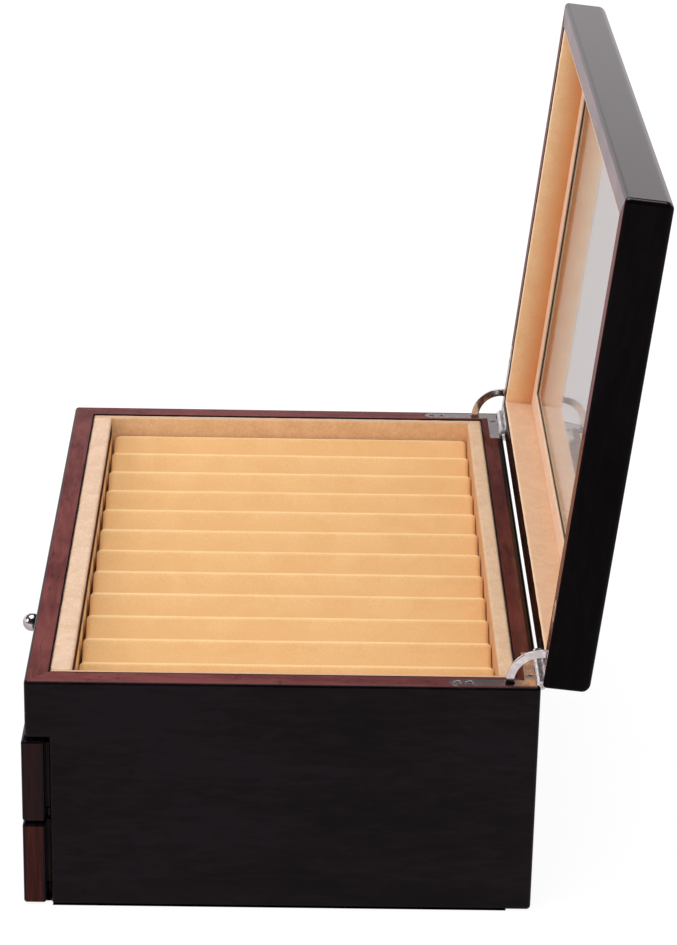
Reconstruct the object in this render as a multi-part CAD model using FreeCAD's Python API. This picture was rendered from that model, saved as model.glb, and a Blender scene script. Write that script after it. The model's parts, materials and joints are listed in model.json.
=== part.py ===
import FreeCAD, Part
import math
import os

# Pen collector chest: a lidded pen tray over two full-width drawers.
# The origin is the middle of the chest's underside. +X is the chest's right, -Y its front, +Z up.
# The chest is drawn with both drawers shut and the lid open against its stop.
# Every size is in millimetres and every angle in degrees.

# ---- Carcass ----
CHEST_WIDTH = 340.0
CHEST_DEPTH = 240.0
CHEST_HEIGHT = 118.9
WALL = 11.2
FRONT_RAIL_HEIGHT = 28.5
BOTTOM_THICKNESS = 5.0
DIVIDER_THICKNESS = 4.0
TRAY_FLOOR_THICKNESS = 4.0
CORNER_ROUND = 2.0
RIM_ROUND = 1.5

# ---- Lid ----
LID_HEIGHT = 22.3
LID_OVERHANG = 1.0
LID_WALL = 11.0
LID_CORNER_ROUND = 2.5
LID_RIM_ROUND = 2.0
LID_TOP_ROUND = 4.0
LID_PANEL_THICKNESS = 6.0
LID_LINING = 2.0
SURROUND_WIDTH = 10.5
SURROUND_THICKNESS = 1.4
GLASS_THICKNESS = 1.5
GLASS_LAP = 5.0
GLASS_FIT = 0.3
RIM_GAP = 0.6
LID_OPEN_ANGLE = 96.1

# ---- Pen tray ----
LINING_DROP = 0.4
TRAY_LINER = 3.0
FRONT_LEDGE = 10.0
REAR_LEDGE = 7.5
INSERT_FRONT_GAP = 1.6
INSERT_FIT = 0.3
TRAY_GROOVE_COUNT = 12
DRAWER_GROOVE_COUNT = 11
INSERT_HEIGHT = 17.7
INSERT_END = 1.7
GROOVE_DEPTH = 7.0
RIDGE_WIDTH = 2.0

# ---- Drawers ----
FRONT_THICKNESS = 10.8
FRONT_STANDOFF = 2.3
FRONT_FLOOR_GAP = 0.8
FRONT_GAP = 1.3
FRONT_TOP_GAP = 2.65
FRONT_ROUND = 1.5
BOX_TOP_GAP = 2.5
BOX_SIDE = 6.0
BOX_BACK = 6.0
BOX_BOTTOM = 3.0
BOX_BOTTOM_RISE = 0.5
BOX_SIDE_GAP = 0.8
BOX_LINING = 1.6
RUNNING_GAP = 0.3

# ---- Knobs ----
BALL_RADIUS = 4.75
BALL_REACH = 9.4
STEM_RADIUS = 2.6
ROSE_RADIUS = 4.0
ROSE_THICKNESS = 0.9
KNOB_SCREW_RADIUS = 2.0
KNOB_SCREW_DEPTH = 6.0
SCREW_HOLE_FIT = 0.1
KNOB_HEAD_RADIUS = 3.4
KNOB_HEAD_HEIGHT = 2.4
HEAD_SINK = 0.2

# ---- Quadrant hinges ----
HINGE_INSET = 2.4
HINGE_SETBACK = 0.4
LEAF_WIDTH = 35.0
LEAF_REACH = 7.2
LEAF_THICKNESS = 1.6
WEB_LAP = 3.6
ARM_WIDTH = 6.0
ARM_REACH = 42.5
KNUCKLE_RADIUS = 2.2
KNUCKLE_COUNT = 5
KNUCKLE_GAP = 0.2
PIN_RADIUS = 1.1
PIN_FIT = 0.05
SWING_CLEARANCE = 0.3
STAY_RADIUS = 14.6
STAY_WIDTH = 4.0
STAY_THICKNESS = 1.6
STAY_INSET = 5.6
STAY_HEAD = 1.1
STAY_HEAD_ANGLE = 4.0
STAY_SLOT_ROOM = 1.5
STAY_END_ROOM = 2.0

# ---- Hinge screws ----
ARM_TIP_TO_SCREW = 3.8
ARM_SCREW_PITCH = 5.7
LEAF_SCREW_INSET = 13.0
LEAF_SCREW_SETBACK = 4.32
HEAD_RADIUS = 1.9
SHANK_RADIUS = 1.0
SHANK_LENGTH = 7.0
CROSS_WIDTH = 0.5
CROSS_LENGTH = 2.2
CROSS_DEPTH = 0.6

# ---- Places worked out from the sizes ----
HALF_WIDTH = CHEST_WIDTH / 2
HALF_DEPTH = CHEST_DEPTH / 2
BAY_HALF = HALF_WIDTH - WALL
FRONT_INNER = -HALF_DEPTH + WALL
BACK_INNER = HALF_DEPTH - WALL
TRAY_FLOOR_TOP = CHEST_HEIGHT - FRONT_RAIL_HEIGHT
TRAY_FLOOR_BOTTOM = TRAY_FLOOR_TOP - TRAY_FLOOR_THICKNESS
FRONTS_HEIGHT = (TRAY_FLOOR_TOP - FRONT_FLOOR_GAP - FRONT_GAP - FRONT_TOP_GAP) / 2
DIVIDER_MIDDLE = FRONT_FLOOR_GAP + FRONTS_HEIGHT + FRONT_GAP / 2
DIVIDER_TOP = DIVIDER_MIDDLE + DIVIDER_THICKNESS / 2
LOWER_BAY_TOP = DIVIDER_TOP - DIVIDER_THICKNESS
BOX_HEIGHT = LOWER_BAY_TOP - BOTTOM_THICKNESS - RUNNING_GAP - BOX_TOP_GAP
FRONT_BACK_FACE = FRONT_INNER - FRONT_STANDOFF
FRONT_FACE = FRONT_BACK_FACE - FRONT_THICKNESS

LID_RIM = CHEST_HEIGHT + RIM_GAP
LID_TOP = LID_RIM + LID_HEIGHT
LID_PANEL_BOTTOM = LID_TOP - LID_PANEL_THICKNESS
LID_REAR = HALF_DEPTH + LID_OVERHANG
LINED_INSET = LID_WALL + LID_LINING
WINDOW_INSET = LINED_INSET + SURROUND_WIDTH

AXIS_Y = HALF_DEPTH + HINGE_SETBACK
AXIS_Z = CHEST_HEIGHT + RIM_GAP / 2
LEAF_OUTER = HALF_WIDTH - HINGE_INSET
LEAF_INNER = LEAF_OUTER - LEAF_WIDTH
ARM_MIDDLE = LEAF_OUTER - ARM_WIDTH / 2
ARM_TIP = HALF_DEPTH - ARM_REACH
STAY_OUTER_FACE = HALF_WIDTH - STAY_INSET
STAY_INNER_FACE = STAY_OUTER_FACE - STAY_THICKNESS
SLOT_INNER = STAY_INNER_FACE - SWING_CLEARANCE
SLOT_OUTER = STAY_OUTER_FACE + STAY_SLOT_ROOM
STAY_INNER_RADIUS = STAY_RADIUS - STAY_WIDTH / 2
STAY_OUTER_RADIUS = STAY_RADIUS + STAY_WIDTH / 2
LEAF_UNDERSIDE_DROP = RIM_GAP / 2 + LEAF_THICKNESS + SWING_CLEARANCE
STAY_HEAD_START = math.degrees(math.asin(LEAF_UNDERSIDE_DROP / (STAY_INNER_RADIUS - STAY_HEAD)))
STAY_HALF_SPAN = LID_OPEN_ANGLE / 2 + STAY_HEAD_START + STAY_HEAD_ANGLE
KNOB_SCREW_LENGTH = FRONT_THICKNESS - KNOB_HEAD_HEIGHT - HEAD_SINK + KNOB_SCREW_DEPTH

X_AXIS = FreeCAD.Vector(1, 0, 0)
Y_AXIS = FreeCAD.Vector(0, 1, 0)
Z_AXIS = FreeCAD.Vector(0, 0, 1)
ORIGIN = FreeCAD.Vector(0, 0, 0)
SAME_HEIGHT = 1e-6
HINGE_AXIS_POINT = FreeCAD.Vector(0, AXIS_Y, AXIS_Z)


# ---- Shape helpers ----

def box(x, y, z):
    """A block between the low and high value of each axis."""
    corner = FreeCAD.Vector(x[0], y[0], z[0])
    return Part.makeBox(x[1] - x[0], y[1] - y[0], z[1] - z[0], corner)


def prism(plan, z):
    """A plan outline raised from z[0] to z[1]."""
    corners = [FreeCAD.Vector(x, y, z[0]) for x, y in plan]
    face = Part.Face(Part.makePolygon(corners + corners[:1]))
    return face.extrude(FreeCAD.Vector(0, 0, z[1] - z[0]))


def sector(radii, angles, x):
    """A band round the hinge axis between two radii, from angle to angle, from the front downwards."""
    def at(radius, angle):
        turn = math.radians(angle)
        return FreeCAD.Vector(x[0], AXIS_Y - radius * math.cos(turn), AXIS_Z - radius * math.sin(turn))

    middle = (angles[0] + angles[1]) / 2
    edges = [
        Part.LineSegment(at(radii[0], angles[0]), at(radii[1], angles[0])),
        Part.Arc(at(radii[1], angles[0]), at(radii[1], middle), at(radii[1], angles[1])),
        Part.LineSegment(at(radii[1], angles[1]), at(radii[0], angles[1])),
        Part.Arc(at(radii[0], angles[1]), at(radii[0], middle), at(radii[0], angles[0])),
    ]
    outline = Part.Wire([edge.toShape() for edge in edges])
    return Part.Face(outline).extrude(X_AXIS * (x[1] - x[0]))


def axis_rod(radius, x):
    """A round bar along the hinge axis."""
    return Part.makeCylinder(radius, x[1] - x[0], FreeCAD.Vector(x[0], AXIS_Y, AXIS_Z), X_AXIS)


def fillet_where(shape, radius, wanted):
    return shape.makeFillet(radius, [edge for edge in shape.Edges if wanted(edge)])


def is_upright(edge):
    bounds = edge.BoundBox
    return bounds.ZLength > max(bounds.XLength, bounds.YLength)


def at_height(height):
    """A test for the level edges that lie at one height."""
    def lies_there(edge):
        bounds = edge.BoundBox
        return bounds.ZLength < SAME_HEIGHT and abs(bounds.ZMin - height) < SAME_HEIGHT

    return lies_there


def left_of(shape):
    """The left-hand twin of a right-hand piece."""
    return shape.mirror(ORIGIN, X_AXIS)


def lid_twin_of(shape):
    """A piece of the chest's rim mirrored onto the rim of the shut lid."""
    return shape.mirror(HINGE_AXIS_POINT, Z_AXIS)


def opened(shape):
    """A piece of the shut lid, swung back to the stop."""
    swung = shape.copy()
    swung.rotate(HINGE_AXIS_POINT, X_AXIS, -LID_OPEN_ANGLE)
    return swung


def save(name, *solids):
    shape = solids[0] if len(solids) == 1 else Part.makeCompound(list(solids))
    shape.exportStep(os.path.join("parts", name + ".step"))


def save_pair(name, right):
    save("right_" + name, right)
    save("left_" + name, left_of(right))


# ---- Mitred boards ----

def mitred_plans(wall, rear):
    """The plans of the front, rear and right boards of a mitred frame whose back face is at y = rear."""
    outer, inner = HALF_WIDTH, HALF_WIDTH - wall
    front, front_inner, rear_inner = -HALF_DEPTH, -HALF_DEPTH + wall, rear - wall
    return {
        "front": [(-outer, front), (outer, front), (inner, front_inner), (-inner, front_inner)],
        "rear": [(-outer, rear), (outer, rear), (inner, rear_inner), (-inner, rear_inner)],
        "right": [(outer, front), (outer, rear), (inner, rear_inner), (inner, front_inner)],
    }


# ---- Hinges ----

def knuckle_span(index):
    pitch = LEAF_WIDTH / KNUCKLE_COUNT
    start = LEAF_INNER + index * pitch
    return (start + KNUCKLE_GAP / 2, start + pitch - KNUCKLE_GAP / 2)


def leaf_plan():
    """The L-shaped plate that lies in the chest's rim: a wide part at the back and an arm along the side."""
    z = (CHEST_HEIGHT - LEAF_THICKNESS, CHEST_HEIGHT)
    back = box((LEAF_INNER, LEAF_OUTER), (HALF_DEPTH - LEAF_REACH, HALF_DEPTH), z)
    tip_middle = ARM_TIP + ARM_WIDTH / 2
    arm = box((LEAF_OUTER - ARM_WIDTH, LEAF_OUTER), (tip_middle, HALF_DEPTH), z)
    tip = Part.makeCylinder(ARM_WIDTH / 2, LEAF_THICKNESS, FreeCAD.Vector(ARM_MIDDLE, tip_middle, z[0]))
    return back.fuse([arm, tip]).removeSplitter()


def screw_places():
    first = ARM_TIP + ARM_TIP_TO_SCREW
    return [(ARM_MIDDLE, first),
            (ARM_MIDDLE, first + ARM_SCREW_PITCH),
            (HALF_WIDTH - LEAF_SCREW_INSET, HALF_DEPTH - LEAF_SCREW_SETBACK)]


def countersunk_screw(place):
    """A screw that stands in the chest's rim with its head flush with the leaf."""
    top = FreeCAD.Vector(place[0], place[1], CHEST_HEIGHT)
    head = Part.makeCone(HEAD_RADIUS, SHANK_RADIUS, LEAF_THICKNESS, top, -Z_AXIS)
    shank = Part.makeCylinder(SHANK_RADIUS, SHANK_LENGTH, top - Z_AXIS * LEAF_THICKNESS, -Z_AXIS)
    return head.fuse(shank).removeSplitter()


def cross_recess(place):
    x, y = place
    z = (CHEST_HEIGHT - CROSS_DEPTH, CHEST_HEIGHT)
    reach, half = CROSS_LENGTH / 2, CROSS_WIDTH / 2
    return box((x - reach, x + reach), (y - half, y + half), z).fuse(
        box((x - half, x + half), (y - reach, y + reach), z))


def hinge_screws():
    return [countersunk_screw(place).cut(cross_recess(place)) for place in screw_places()]


def hinge_leaf(own_knuckles):
    """The right leaf of the chest, with its own knuckles and room for those of the other leaf."""
    leaf = leaf_plan()
    plate_z = (CHEST_HEIGHT - LEAF_THICKNESS, CHEST_HEIGHT)
    for index in range(KNUCKLE_COUNT):
        span = knuckle_span(index)
        if index in own_knuckles:
            web = box(span, (HALF_DEPTH - WEB_LAP, AXIS_Y), plate_z)
            leaf = leaf.fuse([web, axis_rod(KNUCKLE_RADIUS, span)])
        else:
            room = (span[0] - KNUCKLE_GAP, span[1] + KNUCKLE_GAP)
            leaf = leaf.cut(axis_rod(KNUCKLE_RADIUS + SWING_CLEARANCE, room))
    slot_radii = (STAY_INNER_RADIUS - SWING_CLEARANCE, STAY_OUTER_RADIUS + SWING_CLEARANCE)
    leaf = leaf.cut(sector(slot_radii, (-STAY_HEAD_START, 2 * STAY_HEAD_START), (SLOT_INNER, SLOT_OUTER)))
    leaf = leaf.cut([countersunk_screw(place) for place in screw_places()])
    return leaf.removeSplitter()


def base_leaf():
    return hinge_leaf(range(1, KNUCKLE_COUNT, 2)).cut(axis_rod(PIN_RADIUS, (LEAF_INNER, LEAF_OUTER)))


def lid_leaf():
    bore = axis_rod(PIN_RADIUS + PIN_FIT, (LEAF_INNER, LEAF_OUTER))
    return lid_twin_of(hinge_leaf(range(0, KNUCKLE_COUNT, 2)).cut(bore))


def stay_mortise():
    """The pocket under a rim that takes the buried end of the stay."""
    room = STAY_HEAD + SWING_CLEARANCE
    radii = (STAY_INNER_RADIUS - room, STAY_OUTER_RADIUS + room)
    return sector(radii, (-STAY_HEAD_START, STAY_HALF_SPAN + STAY_END_ROOM), (SLOT_INNER, SLOT_OUTER))


def hinge_cuts():
    """All that is let into the chest's right rim: the leaf, the barrel, the stay and the screws."""
    barrel = axis_rod(KNUCKLE_RADIUS + SWING_CLEARANCE, (LEAF_INNER - KNUCKLE_GAP, LEAF_OUTER + KNUCKLE_GAP))
    return [leaf_plan(), barrel, stay_mortise()] + [countersunk_screw(place) for place in screw_places()]


def hinge_stay():
    """The curved stay, halfway between the two rims, with a wider head at each end."""
    middle = -LID_OPEN_ANGLE / 2
    x = (STAY_INNER_FACE, STAY_OUTER_FACE)
    ends = (middle - STAY_HALF_SPAN, middle + STAY_HALF_SPAN)
    stay = sector((STAY_INNER_RADIUS, STAY_OUTER_RADIUS), ends, x)
    head_radii = (STAY_INNER_RADIUS - STAY_HEAD, STAY_OUTER_RADIUS + STAY_HEAD)
    for start in (ends[0], ends[1] - STAY_HEAD_ANGLE):
        stay = stay.fuse(sector(head_radii, (start, start + STAY_HEAD_ANGLE), x))
    return stay.removeSplitter()


def make_hinges():
    save_pair("hinge_base_leaf", base_leaf())
    save_pair("hinge_pin", axis_rod(PIN_RADIUS, (LEAF_INNER, LEAF_OUTER)))
    save_pair("hinge_stay", hinge_stay())
    save_pair("hinge_lid_leaf", opened(lid_leaf()))
    right_screws = hinge_screws()
    base_screws = right_screws + [left_of(screw) for screw in right_screws]
    save("hinge_base_screws", *base_screws)
    save("hinge_lid_screws", *[opened(lid_twin_of(screw)) for screw in base_screws])


# ---- Carcass ----

def upper_envelope():
    """The outside of the chest above the drawers, with its corners and its rim rounded."""
    block = box((-HALF_WIDTH, HALF_WIDTH), (-HALF_DEPTH, HALF_DEPTH), (TRAY_FLOOR_TOP, CHEST_HEIGHT))
    block = fillet_where(block, CORNER_ROUND, is_upright)
    return fillet_where(block, RIM_ROUND, at_height(CHEST_HEIGHT))


def lower_envelope():
    """The outside of the chest beside the drawers, where the sides stop short of the drawer fronts."""
    block = box((-HALF_WIDTH, HALF_WIDTH), (FRONT_INNER, HALF_DEPTH), (0, TRAY_FLOOR_TOP))
    bottom_edge = at_height(0)
    return fillet_where(block, CORNER_ROUND, lambda edge: is_upright(edge) or bottom_edge(edge))


def upper_board(plan):
    return prism(plan, (TRAY_FLOOR_TOP, CHEST_HEIGHT)).common(upper_envelope())


def full_board(plan):
    """A board of the carcass that runs on down beside or behind the drawers."""
    front_edge = [(x, max(y, FRONT_INNER)) for x, y in plan]
    lower = prism(front_edge, (0, TRAY_FLOOR_TOP)).common(lower_envelope())
    return upper_board(plan).fuse(lower).removeSplitter()


def inner_board(front, z):
    return box((-BAY_HALF, BAY_HALF), (front, BACK_INNER), z)


def make_carcass():
    plans = mitred_plans(WALL, HALF_DEPTH)
    cuts = hinge_cuts()
    save_pair("side_panel", full_board(plans["right"]).cut(cuts))
    save("back_panel", full_board(plans["rear"]).cut(cuts + [left_of(cut) for cut in cuts]))
    save("front_rail", upper_board(plans["front"]))
    behind_fronts = FRONT_BACK_FACE + RUNNING_GAP
    save("bottom_board", inner_board(behind_fronts, (0, BOTTOM_THICKNESS)))
    save("drawer_divider", inner_board(behind_fronts, (LOWER_BAY_TOP, DIVIDER_TOP)))
    save("tray_floor", inner_board(FRONT_INNER, (TRAY_FLOOR_BOTTOM, TRAY_FLOOR_TOP)))


# ---- Pen inserts ----

def ridge(middle, pitch, y, base):
    """One ridge between two grooves: a flat crest with a hollow flank down to each groove's middle."""
    half_chord = (pitch - RIDGE_WIDTH) / 2
    hollow_radius = (half_chord ** 2 + GROOVE_DEPTH ** 2) / (2 * GROOVE_DEPTH)
    mid_flank = half_chord / 2
    mid_rise = hollow_radius - math.sqrt(hollow_radius ** 2 - mid_flank ** 2)

    def at(x, rise):
        return FreeCAD.Vector(middle + x, y[0], base + rise)

    foot, crest = pitch / 2, RIDGE_WIDTH / 2
    edges = [
        Part.LineSegment(at(-foot, 0), at(foot, 0)),
        Part.Arc(at(foot, 0), at(foot - mid_flank, mid_rise), at(crest, GROOVE_DEPTH)),
        Part.LineSegment(at(crest, GROOVE_DEPTH), at(-crest, GROOVE_DEPTH)),
        Part.Arc(at(-crest, GROOVE_DEPTH), at(mid_flank - foot, mid_rise), at(-foot, 0)),
    ]
    outline = Part.Wire([edge.toShape() for edge in edges])
    return Part.Face(outline).extrude(Y_AXIS * (y[1] - y[0]))


def pen_insert(half_width, y, bottom, grooves):
    """A padded base with a ridge on each side of every pen groove; the end ridges are cut off short."""
    groove_bottom = bottom + INSERT_HEIGHT - GROOVE_DEPTH
    base = box((-half_width, half_width), y, (bottom, groove_bottom))
    bounds = box((-half_width, half_width), y, (groove_bottom, bottom + INSERT_HEIGHT))
    first = INSERT_END - half_width
    pitch = -2 * first / grooves
    ridges = [ridge(first + index * pitch, pitch, y, groove_bottom) for index in range(grooves + 1)]
    ridges[0] = ridges[0].common(bounds)
    ridges[-1] = ridges[-1].common(bounds)
    return [base] + [solid for shape in ridges for solid in shape.Solids]


def make_tray():
    z = (TRAY_FLOOR_TOP, CHEST_HEIGHT - LINING_DROP)
    between = BAY_HALF - TRAY_LINER
    save_pair("tray_liner", box((between, BAY_HALF), (FRONT_INNER, BACK_INNER), z))
    front_edge = FRONT_INNER + FRONT_LEDGE
    rear_edge = BACK_INNER - REAR_LEDGE
    save("tray_front_ledge", box((-between, between), (FRONT_INNER, front_edge), z))
    save("tray_rear_ledge", box((-between, between), (rear_edge, BACK_INNER), z))
    y = (front_edge + INSERT_FRONT_GAP, rear_edge - INSERT_FIT)
    save("tray_insert", *pen_insert(between - INSERT_FIT, y, TRAY_FLOOR_TOP, TRAY_GROOVE_COUNT))


# ---- Lid ----

def lid_block(inset, z):
    """A block with the lid's plan, drawn in by an inset on every side."""
    half = HALF_WIDTH - inset
    return box((-half, half), (-HALF_DEPTH + inset, LID_REAR - inset), z)


def lid_envelope():
    block = fillet_where(lid_block(0, (LID_RIM, LID_TOP)), LID_CORNER_ROUND, is_upright)
    block = fillet_where(block, LID_TOP_ROUND, at_height(LID_TOP))
    return fillet_where(block, LID_RIM_ROUND, at_height(LID_RIM))


def lid_rail(plan):
    cuts = [lid_twin_of(cut) for cut in hinge_cuts()]
    rail = prism(plan, (LID_RIM, LID_TOP)).common(lid_envelope())
    return rail.cut(cuts + [left_of(cut) for cut in cuts])


def window_panel():
    """The lid's top panel, with the opening that the glass sits in."""
    z = (LID_PANEL_BOTTOM, LID_TOP)
    return lid_block(LID_WALL, z).cut(lid_block(WINDOW_INSET - GLASS_LAP, z))


def window_glass():
    """The pane, which lies on the surround's inner edge."""
    z = (LID_PANEL_BOTTOM, LID_PANEL_BOTTOM + GLASS_THICKNESS)
    return lid_block(WINDOW_INSET - GLASS_LAP + GLASS_FIT, z)


def window_surround():
    z = (LID_PANEL_BOTTOM - SURROUND_THICKNESS, LID_PANEL_BOTTOM)
    return lid_block(LINED_INSET, z).cut(lid_block(WINDOW_INSET, z))


def lid_linings():
    """The four fabric-covered strips on the insides of the lid's rails."""
    z = (LID_RIM + LINING_DROP, LID_PANEL_BOTTOM)
    front, rear = -HALF_DEPTH + LID_WALL, LID_REAR - LID_WALL
    outer, inner = HALF_WIDTH - LID_WALL, HALF_WIDTH - LINED_INSET
    right = box((inner, outer), (front, rear), z)
    return {"right": right, "left": left_of(right),
            "front": box((-inner, inner), (front, front + LID_LINING), z),
            "rear": box((-inner, inner), (rear - LID_LINING, rear), z)}


def make_lid():
    rails = {side: lid_rail(plan) for side, plan in mitred_plans(LID_WALL, LID_REAR).items()}
    rails["left"] = left_of(rails["right"])
    for side, rail in rails.items():
        save("lid_" + side + "_rail", opened(rail))
    for side, lining in lid_linings().items():
        save("lid_" + side + "_lining", opened(lining))
    save("lid_window_panel", opened(window_panel()))
    save("lid_window_glass", opened(window_glass()))
    save("lid_window_surround", opened(window_surround()))


# ---- Drawers ----

def drawer_front(bottom):
    z = (bottom, bottom + FRONTS_HEIGHT)
    board = box((-HALF_WIDTH, HALF_WIDTH), (FRONT_FACE, FRONT_BACK_FACE), z)
    board = board.makeFillet(FRONT_ROUND, board.Edges)
    middle = bottom + FRONTS_HEIGHT / 2
    start = FreeCAD.Vector(0, FRONT_FACE, middle)
    hole = Part.makeCylinder(KNOB_SCREW_RADIUS + SCREW_HOLE_FIT, FRONT_THICKNESS, start, Y_AXIS)
    sink = KNOB_HEAD_HEIGHT + HEAD_SINK
    seat_start = FreeCAD.Vector(0, FRONT_BACK_FACE - sink, middle)
    seat = Part.makeCylinder(KNOB_HEAD_RADIUS + SCREW_HOLE_FIT, sink, seat_start, Y_AXIS)
    return board.cut([hole, seat])


def knob(middle):
    """A ball on a short stem with a flat rose, bored for its screw."""
    face = FreeCAD.Vector(0, FRONT_FACE, middle)
    rose = Part.makeCylinder(ROSE_RADIUS, ROSE_THICKNESS, face, -Y_AXIS)
    stem = Part.makeCylinder(STEM_RADIUS, BALL_REACH, face, -Y_AXIS)
    ball = Part.makeSphere(BALL_RADIUS, face - Y_AXIS * BALL_REACH)
    bore = Part.makeCylinder(KNOB_SCREW_RADIUS, KNOB_SCREW_DEPTH, face, -Y_AXIS)
    return ball.fuse([rose, stem]).removeSplitter().cut(bore)


def knob_screw(middle):
    """The machine screw that holds the knob from inside the drawer, with a slot across its head."""
    head_start = FreeCAD.Vector(0, FRONT_BACK_FACE - HEAD_SINK, middle)
    head = Part.makeCylinder(KNOB_HEAD_RADIUS, KNOB_HEAD_HEIGHT, head_start, -Y_AXIS)
    shank = Part.makeCylinder(KNOB_SCREW_RADIUS, KNOB_HEAD_HEIGHT + KNOB_SCREW_LENGTH, head_start, -Y_AXIS)
    slot_y = (FRONT_BACK_FACE - HEAD_SINK - CROSS_DEPTH, FRONT_BACK_FACE)
    slot = box((-KNOB_HEAD_RADIUS, KNOB_HEAD_RADIUS), slot_y, (middle - CROSS_WIDTH, middle + CROSS_WIDTH))
    return head.fuse(shank).removeSplitter().cut(slot)


def make_drawer(name, bay_floor, front_bottom):
    z = (bay_floor + RUNNING_GAP, bay_floor + RUNNING_GAP + BOX_HEIGHT)
    outer = BAY_HALF - BOX_SIDE_GAP
    inner = outer - BOX_SIDE
    back_face = BACK_INNER - RUNNING_GAP
    side = box((inner, outer), (FRONT_BACK_FACE, back_face), z)
    save(name + "_right_side", side)
    save(name + "_left_side", left_of(side))
    save(name + "_back", box((-inner, inner), (back_face - BOX_BACK, back_face), z))

    inside_y = (FRONT_BACK_FACE, back_face - BOX_BACK)
    bottom_z = (z[0] + BOX_BOTTOM_RISE, z[0] + BOX_BOTTOM_RISE + BOX_BOTTOM)
    save(name + "_bottom", box((-inner, inner), inside_y, bottom_z))

    lining_z = (bottom_z[1], z[1] - LINING_DROP)
    lined = inner - BOX_LINING
    right_lining = box((lined, inner), inside_y, lining_z)
    front_lining = box((-lined, lined), (inside_y[0], inside_y[0] + BOX_LINING), lining_z)
    back_lining = box((-lined, lined), (inside_y[1] - BOX_LINING, inside_y[1]), lining_z)
    save(name + "_linings", right_lining, left_of(right_lining), front_lining, back_lining)

    insert_y = (inside_y[0] + BOX_LINING + INSERT_FIT, inside_y[1] - BOX_LINING - INSERT_FIT)
    save(name + "_insert", *pen_insert(lined - INSERT_FIT, insert_y, bottom_z[1], DRAWER_GROOVE_COUNT))

    front_middle = front_bottom + FRONTS_HEIGHT / 2
    save(name + "_front", drawer_front(front_bottom))
    save(name + "_knob", knob(front_middle))
    save(name + "_knob_screw", knob_screw(front_middle))


os.makedirs("parts", exist_ok=True)
make_carcass()
make_tray()
make_hinges()
make_lid()
make_drawer("lower_drawer", BOTTOM_THICKNESS, FRONT_FLOOR_GAP)
make_drawer("upper_drawer", DIVIDER_TOP, FRONT_FLOOR_GAP + FRONTS_HEIGHT + FRONT_GAP)
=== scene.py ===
import json
import math

import bmesh
import bpy
from mathutils import Matrix, Vector, noise


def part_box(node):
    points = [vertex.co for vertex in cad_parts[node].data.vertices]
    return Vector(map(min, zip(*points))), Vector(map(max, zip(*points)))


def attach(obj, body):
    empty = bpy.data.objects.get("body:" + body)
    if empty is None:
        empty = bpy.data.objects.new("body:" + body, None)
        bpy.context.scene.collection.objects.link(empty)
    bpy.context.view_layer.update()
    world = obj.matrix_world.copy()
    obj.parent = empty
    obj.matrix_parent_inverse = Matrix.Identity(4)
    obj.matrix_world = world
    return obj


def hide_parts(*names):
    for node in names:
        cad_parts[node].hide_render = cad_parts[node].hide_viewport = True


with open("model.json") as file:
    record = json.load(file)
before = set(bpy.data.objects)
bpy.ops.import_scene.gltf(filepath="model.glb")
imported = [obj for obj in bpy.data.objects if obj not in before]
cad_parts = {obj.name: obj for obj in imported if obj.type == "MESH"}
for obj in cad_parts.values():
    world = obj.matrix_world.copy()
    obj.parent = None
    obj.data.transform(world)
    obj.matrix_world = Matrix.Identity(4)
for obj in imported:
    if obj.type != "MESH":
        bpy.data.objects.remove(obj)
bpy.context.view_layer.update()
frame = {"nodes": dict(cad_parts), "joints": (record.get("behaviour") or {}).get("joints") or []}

# Pen collector chest: a dark veneered chest with a glazed lid, a fabric-lined pen tray and two drawers.
# Lengths are in metres and the frame is the chest's own: +X its right, -Y its front, +Z up.

MM = 0.001
NODES = frame["nodes"]

# ---- Fabric pieces ----
TRAY_GROOVES = 12
DRAWER_GROOVES = 11
GROOVE_DEPTH = 7.0 * MM
CREST_WIDTH = 2.0 * MM
CREST_SOFTNESS = 0.9 * MM
CREST_CROWDING = 0.75
PAD_END_ROLL = 2.6 * MM
PAD_CORNER = 4.0 * MM
PAD_SIDE = 1.7 * MM
PAD_COLUMNS = 20
PAD_ROWS = 72
LEDGE_ROUND = 1.3 * MM
LINER_ROUND = 1.1 * MM
LID_LINING_ROUND = 0.8 * MM
SURROUND_ROUND = 0.5 * MM
DRAWER_LINING_ROUND = 0.6 * MM
CLOTH_WAVES = 160.0
STRIP_UNEVENNESS, SURROUND_UNEVENNESS, PAD_UNEVENNESS = 0.12 * MM, 0.1 * MM, 0.2 * MM
PAD_MERGE = 0.02 * MM

# ---- Metal pieces ----
PLATE_EDGE = 0.14 * MM
STAY_EDGE = 0.5 * MM
SCREW_HEAD_RADIUS = 1.88 * MM
SCREW_DOME = 0.12 * MM
SCREW_CONE_DEPTH = 1.6 * MM
SCREW_SHANK_RADIUS = 1.0 * MM
SCREW_LENGTH = 8.6 * MM
RECESS_LENGTH = 2.2 * MM
RECESS_WIDTH = 0.5 * MM
RECESS_DEPTH = 0.6 * MM
RECESS_TAPER = 0.7
SCREW_SEGMENTS = 32
KNOB_ROSE, KNOB_ROSE_HIGH, KNOB_EDGE = 4.0 * MM, 0.9 * MM, 0.25 * MM
KNOB_STEM = 2.6 * MM
KNOB_STEPS, KNOB_SEGMENTS = 28, 72
SHARP_ANGLE = math.radians(35)
PLATE_MERGE, SCREW_MERGE = 0.002 * MM, 0.01 * MM

# ---- View ----
PICTURE = (677, 945)
CAMERA_PLACE = Vector((1.42959, 0.00279, 0.76759))
CAMERA_AZIMUTH = math.radians(89.0741)
CAMERA_ELEVATION = math.radians(21.8777)
CAMERA_ROLL = math.radians(1.1932)
FOCAL_PIXELS = 3044.97
PRINCIPAL_ROW = 400.0
SENSOR = 36.0


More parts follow.
